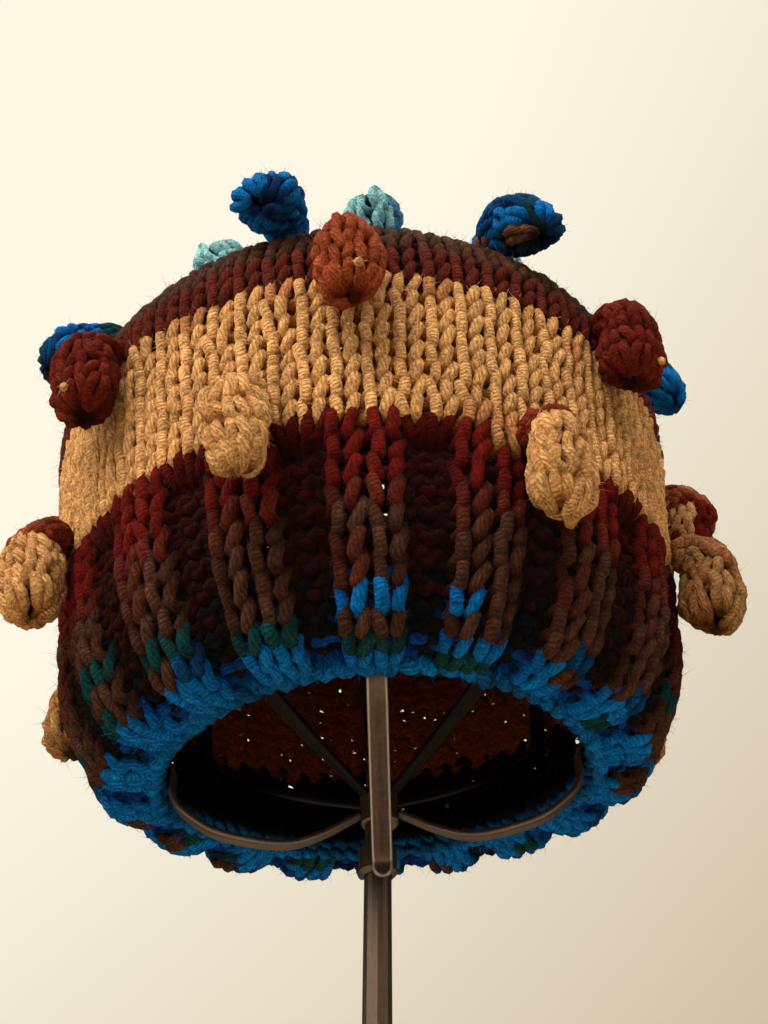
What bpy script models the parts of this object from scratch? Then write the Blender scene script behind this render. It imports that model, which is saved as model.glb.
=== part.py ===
"""Bobbled knit hat on a metal hat stand.

Lengths are metres, Z is up, the front faces -Y, and the origin is on the floor under the post.
The hat is a hollow knitted shell: a ribbed brim, a plain crown and four rings of drooping knitted
bobbles. It sits on eight bowed metal strips between two hubs, on a post with a round base.
"""
import math

import bmesh
import bpy
from mathutils import Vector

# Knitting
STITCHES_ROUND = 72
STITCHES_PER_RIB = 4
RIB_TURN = -0.6
RIB_WALL = 0.0050
RIB_DEPTH = 0.0036
CROWN_WALL = 0.0060

# Hat outline
RIM_RADIUS = 0.0590
BODY_RADIUS = 0.1100
HAT_HEIGHT = 0.1880
BRIM_SHARE = 0.2784
BELLY_OVAL = 0.14
RIM_CORNER = 0.075
CORNER_POWER = 10
RIM_BACK_LIFT = 0.0080
GATHER_RADIUS = 0.0030
GATHERS = 10
GATHER_DEPTH = 0.0012
GATHER_START = 0.862
GATHER_FULL = 0.9606

# Bobbles
BOBBLES_PER_RING = 8
BOBBLE_RADIUS = 0.0105
BOBBLE_LENGTH = 0.0380
BOBBLE_FLATNESS = 0.84
BOBBLE_ROOT = 0.05

# Stand
RIM_HEIGHT = 0.2620
HEAD_LEAN = 2.9
POST_RADIUS = 0.0038
COLLAR_RADIUS = 0.00545
COLLAR_LENGTH = 0.0080
COLLAR_DROP = 0.0180
COLLAR_TAPER = 0.0012
COLLAR_CHAMFER = 0.0004
COLLAR_EDGE = 0.0002
LOWER_HUB_RADIUS = 0.0055
LOWER_HUB_LENGTH = 0.0110
LOW_SEAT = 0.68
HIGH_SEAT = 0.23
TOP_HUB_RADIUS = 0.0115
TOP_HUB_LENGTH = 0.0035
HUB_ROUND = 0.0006
STRIP_WIDTH = 0.0057
STRIP_THICKNESS = 0.0016
STRIP_ARCH = 0.0005
FRONT_TIP = 0.62
FRONT_FOOT = 0.0289
STRIP_NECK = 0.50
NECK_RUN = 0.0450
LOW_WALL_START = 0.2113
HIGH_WALL_START = 0.2606
CROWN_WALL_START = 0.3789
WALL_END = 0.931
RIB_EASE = 0.02
BASE_RADIUS = 0.0950
BASE_THICKNESS = 0.0060
BASE_ROUND = 0.0015
SOCKET_RADIUS = 0.0110
SOCKET_TOP_RADIUS = 0.0077
SOCKET_HEIGHT = 0.0140

# Clearances between pieces that touch on the real thing
SEAT_GAP = 0.0003
BOBBLE_GAP = 0.0005
STRIP_GAP = 0.0009

# Hat outline from the rim to the widest level: the way out from the rim radius to the body radius,
# and the height as a share of the hat's
BRIM_STATIONS = (
    # way out, height
    (0.000, 0.000),
    (0.263, -0.002),
    (0.433, 0.022),
    (0.655, 0.120),
    (0.765, 0.239),
    (0.840, 0.360),
    (0.899, 0.460),
    (0.959, 0.546),
    (1.000, 0.632),
)

# From the widest level to the gathered top: shares of the body radius and of the hat's height
CROWN_STATIONS = (
    # radius, height
    (0.945, 0.736),
    (0.815, 0.820),
    (0.624, 0.896),
    (0.392, 0.957),
    (0.133, 0.994),
    (0.000, 0.999),
)

# One rib across, in stitches from the middle of the knit pair, and how far it is sunk in
RIB_SECTION = (
    # stitch, sunk
    (-0.75, 0.0),
    (0.75, 0.0),
    (1.25, 1.0),
    (2.75, 1.0),
)

# Rings of bobbles: place along the outline from the rim, turn of the first one in degrees, how far
# a bobble bends from the wall's normal down towards the wall in degrees, and its colour
BOBBLE_RINGS = (
    # name, run, turn, bend, colour
    ("tan_bobble", 0.2951, -17.5, 90.0, (0.60, 0.33, 0.12)),
    ("rust_bobble", 0.4824, -1.5, 90.0, (0.14, 0.02, 0.012)),
    ("blue_bobble", 0.6352, -16.6, 88.0, (0.005, 0.09, 0.25)),
    ("aqua_bobble", 0.7782, 3.0, 18.0, (0.22, 0.50, 0.56)),
)

# Bobbles that were knitted a little off their ring: how far up the run, and degrees to the right
BOBBLE_SHIFTS = (
    # name, run, turn
    ("tan_bobble_2", -0.028, -1.0),
    ("tan_bobble_7", 0.018, 0.0),
    ("rust_bobble_8", -0.020, 2.0),
    ("blue_bobble_1", 0.0, 3.0),
    ("aqua_bobble_1", 0.0, 2.5),
)

# A bobble along its length: the share of its length, and of its radius
BOBBLE_SHAPE = (
    # along, girth
    (0.00, 0.44),
    (0.08, 0.48),
    (0.25, 0.80),
    (0.44, 1.00),
    (0.68, 0.98),
    (0.88, 0.72),
    (1.00, 0.34),
)

# Routes of the strips below the hat's wall, out from the axis and up from the rim's plane. Front and
# low routes are shares of the rim radius, and past 1 shares of the way from there to the body radius.
# High routes are shares of the body radius and of the hat's height. Above them each strip follows
# the inside of the hat.
FRONT_ROUTE = (
    # out, up
    (0.157, -0.382),
    (0.226, -0.342),
    (0.457, -0.203),
    (0.688, -0.068),
    (0.855, 0.031),
    (0.929, 0.149),
    (1.072, 0.299),
    (1.242, 0.481),
)
LOW_ROUTE = (
    # out, up
    (0.271, -0.225),
    (0.442, -0.266),
    (0.710, -0.208),
    (0.844, -0.125),
    (0.925, -0.045),
    (0.955, 0.040),
    (0.960, 0.150),
    (1.135, 0.310),
    (1.345, 0.497),
)
HIGH_ROUTE = (
    # out, up
    (0.220, 0.034),
    (0.385, 0.085),
    (0.589, 0.156),
    (0.745, 0.226),
)

# Strips by name: turn from the front in degrees, and the route
STRIPS = (
    # name, turn, route
    ("front_strip", 0.0, "front"),
    ("low_strip_1", 90.0, "low"),
    ("low_strip_2", 180.0, "low"),
    ("low_strip_3", 270.0, "low"),
    ("high_strip_1", 45.0, "high"),
    ("high_strip_2", 135.0, "high"),
    ("high_strip_3", 225.0, "high"),
    ("high_strip_4", 315.0, "high"),
)

STITCH_ANGLE = math.tau / STITCHES_ROUND
SMOOTH_STEPS = 12
PATH_STEPS = 50
ROUTE_STATIONS = 8
SHARP_ANGLE = math.radians(45)


def clear_scene():
    """Remove every object, so that the script can run twice in one file."""
    for item in list(bpy.data.objects):
        bpy.data.objects.remove(item, do_unlink=True)


def make_material(name, colour, roughness, metallic=0.0):
    """A Principled BSDF with one colour."""
    material = bpy.data.materials.new(name)
    material.use_nodes = True
    shader = material.node_tree.nodes["Principled BSDF"]
    shader.inputs["Base Color"].default_value = (*colour, 1.0)
    shader.inputs["Roughness"].default_value = roughness
    shader.inputs["Metallic"].default_value = metallic
    material.diffuse_color = (*colour, 1.0)
    return material


def add_object(name, data, material, parent=None):
    """Link a mesh or a curve as a named object of the hat's collection."""
    item = bpy.data.objects.new(name, data)
    item.data.materials.append(material)
    item.parent = parent
    COLLECTION.objects.link(item)
    return item


def smooth_points(points, steps):
    """A Catmull-Rom curve through the points, with the given steps between neighbours."""
    points = [Vector(p) for p in points]
    padded = [2 * points[0] - points[1]] + points + [2 * points[-1] - points[-2]]
    curve = []
    for i in range(1, len(padded) - 2):
        p0, p1, p2, p3 = padded[i - 1:i + 3]
        for step in range(steps):
            t = step / steps
            bend = 2 * p0 - 5 * p1 + 4 * p2 - p3
            twist = 3 * p1 - p0 - 3 * p2 + p3
            curve.append((2 * p1 + (p2 - p0) * t + bend * t * t + twist * t ** 3) / 2)
    curve.append(points[-1])
    return curve


def hat_outline():
    """The hat's outer outline from the rim to the top, as radius and height."""
    reach = BODY_RADIUS - RIM_RADIUS
    points = [(RIM_RADIUS + out * reach, up * HAT_HEIGHT) for out, up in BRIM_STATIONS]
    points += [(share * BODY_RADIUS, up * HAT_HEIGHT) for share, up in CROWN_STATIONS]
    return smooth_points(points, SMOOTH_STEPS)


def run_lengths(points):
    """The length along the points, up to each of them."""
    lengths = [0.0]
    for a, b in zip(points, points[1:]):
        lengths.append(lengths[-1] + (b - a).length)
    return lengths


OUTLINE = hat_outline()
OUTLINE_RUN = run_lengths(OUTLINE)


def outline_at(share):
    """Radius, height and outward slope of the hat's outline at a share of its run."""
    goal = share * OUTLINE_RUN[-1]
    i = 1
    while i < len(OUTLINE) - 1 and OUTLINE_RUN[i] < goal:
        i += 1
    start, end = OUTLINE[i - 1], OUTLINE[i]
    part = (goal - OUTLINE_RUN[i - 1]) / (OUTLINE_RUN[i] - OUTLINE_RUN[i - 1])
    before, after = OUTLINE[max(i - 2, 0)], OUTLINE[min(i + 1, len(OUTLINE) - 1)]
    along = (after - before).normalized()
    return start.lerp(end, part), Vector((along.y, -along.x))


def turned(radius, height, angle):
    """A point at a turn from the front, which is -Y, towards +X."""
    return Vector((radius * math.sin(angle), -radius * math.cos(angle), height))


def wall_at(share, angle, inset):
    """Radius and height at a depth below the hat's outline. The ribbing is drawn oval above the
    rim, and the rim is pulled out at both sides and lifted behind. All of this fades out where
    the plain knitting starts."""
    (radius, height), (out, up) = outline_at(share)
    climb = min(share / BRIM_SHARE, 1.0)
    fade = (1.0 - climb) ** 2
    corner = RIM_CORNER * abs(math.sin(angle)) ** CORNER_POWER * fade * fade
    oval = 1.0 - BELLY_OVAL * math.cos(2 * angle) * climb * fade + corner
    lift = RIM_BACK_LIFT * ((1.0 - math.cos(angle)) / 2) ** 3 * fade
    return Vector((radius * oval - out * inset, height + lift - up * inset))


def loft(name, rings, material, parent, closed=False):
    """Skin rings of equal counts into one closed body, capped or joined end to end."""
    bm = bmesh.new()
    loops = [[bm.verts.new(point) for point in ring] for ring in rings]
    count = len(loops[0])
    pairs = list(zip(loops, loops[1:]))
    if closed:
        pairs.append((loops[-1], loops[0]))
    else:
        bm.faces.new(loops[0])
        bm.faces.new(loops[-1])
    for lower, upper in pairs:
        for i in range(count):
            j = (i + 1) % count
            bm.faces.new((lower[i], lower[j], upper[j], upper[i]))
    bmesh.ops.recalc_face_normals(bm, faces=bm.faces)
    mesh = bpy.data.meshes.new(name)
    bm.to_mesh(mesh)
    bm.free()
    mesh.shade_smooth()
    mesh.set_sharp_from_angle(angle=SHARP_ANGLE)
    return add_object(name, mesh, material, parent)


def lathe(name, profile, material, parent=None, height=0.0, sides=24, rounding=0.0):
    """Turn a closed profile, listed top to bottom down its outer side, about the Z axis."""
    bm = bmesh.new()
    verts = [bm.verts.new((radius, 0.0, z)) for radius, z in profile]
    for a, b in zip(verts, verts[1:]):
        bm.edges.new((a, b))
    if profile[0][0] > 0.0:
        bm.edges.new((verts[-1], verts[0]))
    mesh = bpy.data.meshes.new(name)
    bm.to_mesh(mesh)
    bm.free()
    item = add_object(name, mesh, material, parent)
    item.location.z = height
    screw = item.modifiers.new("turn", "SCREW")
    screw.steps = sides
    screw.render_steps = sides
    screw.use_merge_vertices = True
    screw.merge_threshold = 0.00001
    if rounding:
        bevel = item.modifiers.new("round", "BEVEL")
        bevel.width = rounding
        bevel.segments = 1
        bevel.limit_method = "ANGLE"
        bevel.angle_limit = SHARP_ANGLE
    return item


def rib_ring(share, depth):
    """A ring of the ribbing, sunk below the outline by depth and by the ribs."""
    ring = []
    for rib in range(STITCHES_ROUND // STITCHES_PER_RIB):
        for stitch, sunk in RIB_SECTION:
            angle = math.radians(RIB_TURN) + (rib * STITCHES_PER_RIB + stitch) * STITCH_ANGLE
            radius, height = wall_at(share, angle, depth + sunk * RIB_DEPTH)
            ring.append(turned(radius, height, angle))
    return ring


def make_brim(parent, material, rows=9):
    """The ribbed wall from the rim to the plain knitting."""
    top = BRIM_SHARE - 0.5 * SEAT_GAP / OUTLINE_RUN[-1]
    shares = [top * row / (rows - 1) for row in range(rows)]
    outer = [rib_ring(share, 0.0) for share in shares]
    inner = [rib_ring(share, RIB_WALL) for share in reversed(shares)]
    return loft("ribbed_brim", outer + inner, material, parent, closed=True)


def crown_ring(share, depth, sides, gathered):
    """A ring of the crown, with gathers that swell it outwards near the top."""
    pull = (share - GATHER_START) / (GATHER_FULL - GATHER_START) if gathered else 0.0
    pull = min(max(pull, 0.0), 1.0)
    ring = []
    for side in range(sides):
        angle = math.tau * side / sides
        swell = GATHER_DEPTH * pull * (1 + math.cos(GATHERS * angle)) / 2
        radius, height = wall_at(share, angle, depth - swell)
        ring.append(turned(max(radius, GATHER_RADIUS), height, angle))
    return ring


def make_crown(parent, material, rows=15, sides=40):
    """The plain knitted shell, open below and drawn together at the top."""
    start = BRIM_SHARE + 0.5 * SEAT_GAP / OUTLINE_RUN[-1]
    end = 1.0 - GATHER_RADIUS / OUTLINE_RUN[-1]
    shares = [start + (end - start) * row / (rows - 1) for row in range(rows)]
    inner = [crown_ring(share, CROWN_WALL, sides, False) for share in reversed(shares)]
    outer = [crown_ring(share, 0.0, sides, True) for share in shares]
    return loft("crown", inner + outer, material, parent)


def bobble_path(run, turn, bend, length):
    """Centre line of a bobble: straight out of the wall, then bent down along it. A bobble that
    bends by 90 degrees ends up lying against the wall."""
    angle = math.radians(turn)
    bent_at = BOBBLE_ROOT + 2 * (BOBBLE_FLATNESS * BOBBLE_RADIUS / length - BOBBLE_ROOT)
    travel = 0.0
    stand = BOBBLE_GAP
    path = []
    for step in range(PATH_STEPS + 1):
        radius, height = wall_at(run - travel / OUTLINE_RUN[-1], angle, -stand)
        path.append(turned(radius, height, angle))
        share = ((step + 0.5) / PATH_STEPS - BOBBLE_ROOT) / (bent_at - BOBBLE_ROOT)
        share = min(max(share, 0.0), 1.0)
        slope = math.radians(bend) * share * share * (3 - 2 * share)
        stand += math.cos(slope) * length / PATH_STEPS
        travel += math.sin(slope) * length / PATH_STEPS
    return path


def make_bobble(name, run, turn, bend, material, parent, sides=8):
    """A knitted peg with flattened oval sections, thin at its root and round at its tip."""
    path = bobble_path(run, turn, bend, BOBBLE_LENGTH)
    across = turned(1.0, 0.0, math.radians(turn) + math.pi / 2)
    rings = []
    for along, girth in BOBBLE_SHAPE:
        i = round(along * PATH_STEPS)
        ahead = path[min(i + 1, PATH_STEPS)] - path[max(i - 1, 0)]
        away = across.cross(ahead).normalized()
        ring = []
        for side in range(sides):
            angle = math.tau * (side + 0.5) / sides
            offset = across * math.cos(angle) + away * math.sin(angle) * BOBBLE_FLATNESS
            ring.append(path[i] + offset * girth * BOBBLE_RADIUS)
        rings.append(ring)
    return loft(name, rings, material, parent)


def make_bobbles(parent):
    """Every ring of bobbles, evenly turned round the hat but for the few that are off."""
    step = 360.0 / BOBBLES_PER_RING
    shifts = {name: (rise, swing) for name, rise, swing in BOBBLE_SHIFTS}
    for ring, run, turn, bend, colour in BOBBLE_RINGS:
        material = make_material(ring, colour, 0.9)
        for i in range(BOBBLES_PER_RING):
            name = f"{ring}_{i + 1}"
            rise, swing = shifts.get(name, (0.0, 0.0))
            make_bobble(name, run + rise, turn + swing + i * step, bend, material, parent)


def top_hub_height():
    """Middle height of the top hub, which carries the gathered top from below."""
    (_, height), _ = outline_at(1.0)
    return height - CROWN_WALL - STRIP_GAP - 0.5 * TOP_HUB_LENGTH


def inside_hat(share, angle):
    """A strip's middle line where it lies against the inside of the hat."""
    ribbed = share <= BRIM_SHARE + RIB_EASE
    wall = max(RIB_WALL + RIB_DEPTH, CROWN_WALL) if ribbed else CROWN_WALL
    return wall_at(share, angle, wall + STRIP_GAP + STRIP_ARCH + 0.5 * STRIP_THICKNESS)


def strip_route(kind, angle):
    """Middle line of a strip as radius and height, from its lower seat to the top hub."""
    if kind == "front":
        route = FRONT_ROUTE
        beside_collar = COLLAR_RADIUS + SEAT_GAP + STRIP_ARCH + 0.5 * STRIP_THICKNESS
        start = [(beside_collar, -FRONT_FOOT),
                 (beside_collar, -(COLLAR_DROP + COLLAR_LENGTH - COLLAR_TAPER))]
    else:
        route = LOW_ROUTE if kind == "low" else HIGH_ROUTE
        seat = LOW_SEAT if kind == "low" else HIGH_SEAT
        start = [(LOWER_HUB_RADIUS + SEAT_GAP, -seat * LOWER_HUB_LENGTH)]
    ribs_end = BRIM_SHARE + RIB_EASE
    step = (WALL_END - CROWN_WALL_START) / (ROUTE_STATIONS - 1)
    shares = [CROWN_WALL_START + step * i for i in range(ROUTE_STATIONS)]
    if kind == "high":
        lower = [(out * BODY_RADIUS, up * HAT_HEIGHT) for out, up in route]
        shares = [HIGH_WALL_START, ribs_end] + shares
    else:
        reach, lift = wall_at(0.0, angle, 0.0)
        lower = [(min(out, 1.0) * reach + max(out - 1.0, 0.0) * (BODY_RADIUS - RIM_RADIUS),
                  up * RIM_RADIUS + lift * min(out, 1.0)) for out, up in route]
        shares = [LOW_WALL_START, (LOW_WALL_START + ribs_end) / 2, ribs_end] + shares
    upper = [inside_hat(share, angle) for share in shares]
    end = [(TOP_HUB_RADIUS + SEAT_GAP, top_hub_height())]
    return start + lower + upper + end


def resample(points, count):
    """Points at even steps along a smooth curve through the given ones."""
    fine = smooth_points(points, SMOOTH_STEPS)
    lengths = run_lengths(fine)
    even = []
    i = 1
    for step in range(count):
        goal = lengths[-1] * step / (count - 1)
        while i < len(fine) - 1 and lengths[i] < goal:
            i += 1
        part = (goal - lengths[i - 1]) / (lengths[i] - lengths[i - 1])
        even.append(fine[i - 1].lerp(fine[i], min(max(part, 0.0), 1.0)))
    return even


def make_strip(name, turn, kind, material, parent, count=22):
    """A flat strip, arched a little across, swept along its route in an upright plane. It narrows
    towards the lower hub, or to a rounded foot beside the collar."""
    angle = math.radians(turn)
    route = resample(strip_route(kind, angle), count)
    lengths = run_lengths(route)
    side = turned(1.0, 0.0, angle + math.pi / 2)
    rings = []
    for i, (radius, height) in enumerate(route):
        along = (route[min(i + 1, count - 1)] - route[max(i - 1, 0)]).normalized()
        if i == count - 1:
            along = Vector((-1.0, 0.0))
        elif i == 0 and kind != "front":
            along = Vector((1.0, 0.0))
        out = turned(along.y, -along.x, angle)
        centre = turned(radius, height, angle)
        half = 0.5 * STRIP_WIDTH
        if kind != "front":
            half *= STRIP_NECK + (1 - STRIP_NECK) * min(lengths[i] / NECK_RUN, 1.0)
        elif i == 0:
            half *= FRONT_TIP
        across = ((-half, 0.0), (0.0, STRIP_ARCH), (half, 0.0))
        outer = [centre + side * x + out * (y + 0.5 * STRIP_THICKNESS) for x, y in across]
        inner = [centre + side * x + out * (y - 0.5 * STRIP_THICKNESS) for x, y in reversed(across)]
        rings.append(outer + inner)
    return loft(name, rings, material, parent)


def make_stand(head):
    """The plate, post and collar, which stand upright, and the hubs and strips of the head."""
    metal = make_material("bronzed_metal", (0.070, 0.056, 0.048), 0.42, 0.85)
    cast = make_material("base_metal", (0.060, 0.050, 0.044), 0.50, 0.80)
    plate = ((0.0, BASE_THICKNESS), (BASE_RADIUS, BASE_THICKNESS), (BASE_RADIUS, 0.0), (0.0, 0.0))
    lathe("base_plate", plate, cast, sides=48, rounding=BASE_ROUND)
    hole = POST_RADIUS + SEAT_GAP
    foot = BASE_THICKNESS + SEAT_GAP
    socket = ((hole, SOCKET_HEIGHT), (SOCKET_TOP_RADIUS, SOCKET_HEIGHT), (SOCKET_RADIUS, 0.0),
              (hole, 0.0))
    lathe("post_socket", socket, cast, height=foot)
    hub_dip = POST_RADIUS * math.sin(math.radians(HEAD_LEAN))
    top = RIM_HEIGHT - LOWER_HUB_LENGTH - hub_dip - SEAT_GAP
    post = ((0.0, top), (POST_RADIUS, top), (POST_RADIUS, foot), (0.0, foot))
    lathe("post", post, metal, sides=16)
    low = RIM_HEIGHT - COLLAR_DROP - COLLAR_LENGTH
    high = low + COLLAR_LENGTH
    collar = ((hole, high), (COLLAR_RADIUS - COLLAR_CHAMFER, high),
              (COLLAR_RADIUS, high - COLLAR_CHAMFER), (COLLAR_RADIUS, low + COLLAR_TAPER),
              (hole + COLLAR_EDGE, low), (hole, low))
    lathe("collar", collar, metal, sides=16)
    hub = ((0.0, 0.0), (LOWER_HUB_RADIUS, 0.0), (LOWER_HUB_RADIUS, -LOWER_HUB_LENGTH),
           (0.0, -LOWER_HUB_LENGTH))
    lathe("lower_hub", hub, metal, parent=head, sides=16, rounding=HUB_ROUND)
    half = 0.5 * TOP_HUB_LENGTH
    crown_hub = ((0.0, half), (TOP_HUB_RADIUS, half), (TOP_HUB_RADIUS, -half), (0.0, -half))
    lathe("top_hub", crown_hub, metal, parent=head, height=top_hub_height(), rounding=HUB_ROUND)
    for name, turn, kind in STRIPS:
        make_strip(name, turn, kind, metal, head)


def make_hat(head):
    """The knitted shell in two pieces, and its bobbles."""
    brim = make_material("ribbed_knit", (0.055, 0.035, 0.026), 0.92)
    crown = make_material("plain_knit", (0.58, 0.32, 0.12), 0.90)
    make_brim(head, brim)
    make_crown(head, crown)
    make_bobbles(head)


clear_scene()
COLLECTION = bpy.data.collections.new("bobbled_knit_hat")
bpy.context.scene.collection.children.link(COLLECTION)
HEAD = bpy.data.objects.new("head_seat", None)
HEAD.location.z = RIM_HEIGHT
HEAD.rotation_euler.y = -math.radians(HEAD_LEAN)
COLLECTION.objects.link(HEAD)
make_stand(HEAD)
make_hat(HEAD)
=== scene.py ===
# %% [markdown]
# # A bobbled knit hat on a metal hat stand
# The hat is knitted in the round from thick yarn that changes colour as it runs: a ribbed brim, a
# plain crown and four rings of small knitted bobbles. It hangs over eight bowed metal strips.
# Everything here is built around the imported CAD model, in metres, with Z up and the front to -Y.

# %% Load the CAD model
import math

import bmesh
import bpy
import numpy as np
from mathutils import Matrix, Vector


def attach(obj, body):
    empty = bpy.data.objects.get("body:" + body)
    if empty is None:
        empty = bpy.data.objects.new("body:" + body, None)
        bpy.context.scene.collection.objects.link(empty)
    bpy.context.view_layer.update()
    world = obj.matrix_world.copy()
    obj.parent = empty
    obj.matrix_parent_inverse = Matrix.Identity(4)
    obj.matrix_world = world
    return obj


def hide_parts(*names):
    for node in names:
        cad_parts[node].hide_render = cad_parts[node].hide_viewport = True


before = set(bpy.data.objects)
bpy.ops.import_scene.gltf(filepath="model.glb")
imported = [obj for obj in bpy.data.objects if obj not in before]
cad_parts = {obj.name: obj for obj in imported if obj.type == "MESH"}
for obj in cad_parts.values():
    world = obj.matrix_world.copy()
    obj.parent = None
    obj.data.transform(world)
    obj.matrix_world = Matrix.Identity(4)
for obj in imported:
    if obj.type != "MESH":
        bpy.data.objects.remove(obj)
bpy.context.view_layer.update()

# %% [markdown]
# ## Camera
# The hat was looked at from just below its rim, tilted up, so that one looks into the opening and
# at the underside of the bobbles. The picture is 1024 pixels high, so a focal length in pixels
# turns into millimetres of lens through the sensor's own height.

# %% Make the camera
PICTURE_HEIGHT = 1024
FOCAL_PIXELS = 976
SENSOR = 36.0
CAMERA_PLACE = (0.0017, -0.2640, 0.1224)
CAMERA_TILT = 133.8


def add_object(name, data):
    """A new object in the scene for a mesh, a curve, a lamp or a camera."""
    made = bpy.data.objects.new(name, data)
    bpy.context.collection.objects.link(made)
    return made


camera_data = bpy.data.cameras.new("photo_camera")
camera_data.sensor_fit = "VERTICAL"
camera_data.sensor_height = SENSOR
camera_data.lens = FOCAL_PIXELS * SENSOR / PICTURE_HEIGHT
camera_data.clip_start = 0.005
camera = add_object("photo_camera", camera_data)
camera.location = CAMERA_PLACE
camera.rotation_euler = (math.radians(CAMERA_TILT), 0.0, 0.0)
bpy.context.scene.camera = camera
print("lens", round(camera_data.lens, 2), "mm")

# %% [markdown]
# ## The surface that carries the knitting
# Every loop of yarn lies on one surface of revolution, drawn a little wide above the rim, and the
# rim itself is pulled out at both sides and lifted behind. It is the same outline as the CAD
# model's, so its numbers are repeated here. A place on it is a run from the rim up, an angle from
# the front, and a depth below the outside.

# %% The hat's outline
RIM_RADIUS, BODY_RADIUS, HAT_HEIGHT = 0.0590, 0.1100, 0.1880
BRIM_SHARE, RIM_BACK_LIFT = 0.2784, 0.0080
BELLY_OVAL, RIM_CORNER, CORNER_POWER = 0.14, 0.075, 10
RIM_HEIGHT, HEAD_LEAN = 0.2620, math.radians(2.9)
# How far out each station is, from the rim's radius to the body's, and how far up the hat
BRIM_STATIONS = ((0.000, 0.000), (0.263, -0.002), (0.433, 0.022), (0.655, 0.120), (0.765, 0.239),
                 (0.840, 0.360), (0.899, 0.460), (0.959, 0.546), (1.000, 0.632))
# How far out each station is, as a share of the body's radius, and how far up the hat
CROWN_STATIONS = ((0.945, 0.736), (0.815, 0.820), (0.624, 0.896), (0.392, 0.957), (0.133, 0.994),
                  (0.000, 0.999))
UP = np.array((0.0, 0.0, 1.0))


def smooth_points(points, steps=12):
    """A Catmull-Rom curve through the points, as an array."""
    points = [np.array(p, float) for p in points]
    padded = [2 * points[0] - points[1]] + points + [2 * points[-1] - points[-2]]
    curve = []
    for p0, p1, p2, p3 in zip(padded, padded[1:], padded[2:], padded[3:]):
        for t in np.arange(steps) / steps:
            bend, twist = 2 * p0 - 5 * p1 + 4 * p2 - p3, 3 * p1 - p0 - 3 * p2 + p3
            curve.append((2 * p1 + (p2 - p0) * t + bend * t * t + twist * t ** 3) / 2)
    return np.array(curve + [points[-1]])


def unit(vectors):
    """The same directions, one long."""
    return vectors / np.linalg.norm(vectors, axis=-1, keepdims=True)


def distance_along(points):
    """How far along a line each of its points is."""
    return np.concatenate(([0.0], np.cumsum(np.linalg.norm(np.diff(points, axis=0), axis=1))))


def along_line(at, stations, points):
    """Places at some distances along a line of points, which lie at the given stations."""
    return np.stack([np.interp(at, stations, column) for column in points.T], axis=-1)


def ease(share):
    """A share from 0 to 1 that starts and ends gently."""
    return share * share * (3 - 2 * share)


REACH = BODY_RADIUS - RIM_RADIUS
OUTLINE = smooth_points([(RIM_RADIUS + out * REACH, up * HAT_HEIGHT) for out, up in BRIM_STATIONS]
                        + [(out * BODY_RADIUS, up * HAT_HEIGHT) for out, up in CROWN_STATIONS])
RUN = distance_along(OUTLINE)
slope = np.gradient(OUTLINE, RUN, axis=0)
OUTWARD = unit(np.stack((slope[:, 1], -slope[:, 0]), axis=1))
print("run from rim to top", round(RUN[-1] * 1000, 1), "mm")


# %% Places on the hat
def along_run(run, values):
    """A column of the outline's values at the given runs."""
    return np.interp(run, RUN, values)


def lean(points):
    """Head places to world places: the head sits on the post and leans a little to the side."""
    x, y, z = points[..., 0], points[..., 1], points[..., 2]
    sin, cos = math.sin(HEAD_LEAN), math.cos(HEAD_LEAN)
    return np.stack((x * cos - z * sin, y, x * sin + z * cos + RIM_HEIGHT), axis=-1)


def lean_direction(directions):
    """Directions in the head to directions in the world."""
    return lean(directions) - lean(np.zeros(3))


def out_of_round(run, angle):
    """How far the ribbing is drawn out at a run and an angle, as a factor, and how far lifted."""
    climb = np.clip(run / (BRIM_SHARE * RUN[-1]), 0, 1)
    fade = (1.0 - climb) ** 2
    corner = RIM_CORNER * np.abs(np.sin(angle)) ** CORNER_POWER * fade * fade
    oval = 1.0 - BELLY_OVAL * np.cos(2 * angle) * climb * fade + corner
    return oval, RIM_BACK_LIFT * ((1.0 - np.cos(angle)) / 2) ** 3 * fade


def under_outside(run, angle, depth):
    """Radius and height at a run, an angle and a depth into the wall."""
    oval, lift = out_of_round(run, angle)
    return (along_run(run, OUTLINE[:, 0]) * oval - along_run(run, OUTWARD[:, 0]) * depth,
            along_run(run, OUTLINE[:, 1]) + lift - along_run(run, OUTWARD[:, 1]) * depth)


def on_hat(run, angle, depth):
    """World points at a run from the rim, an angle from the front and a depth into the wall."""
    radius, height = under_outside(run, angle, depth)
    return lean(np.stack((radius * np.sin(angle), -radius * np.cos(angle), height), axis=-1))


print("front of the rim", on_hat(0.0, 0.0, 0.0).round(4))

# %% [markdown]
# ## Colours of the yarn
# The yarn is dyed in long stretches, so each round of knitting takes one colour and the change
# from one to the next falls somewhere along a round. Colours are written as they look on a screen
# and turned into light values, which is what a shader wants.

# %% Yarn colours by round
STITCHES = 72


def light(red, green, blue):
    """A screen colour from 0 to 255 as linear light."""
    share = np.array((red, green, blue), float) / 255
    return np.where(share > 0.04045, ((share + 0.055) / 1.055) ** 2.4, share / 12.92)


def opaque(colour):
    """A screen colour as a shader wants it, with nothing seen through it."""
    return (*light(*colour), 1.0)


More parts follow.
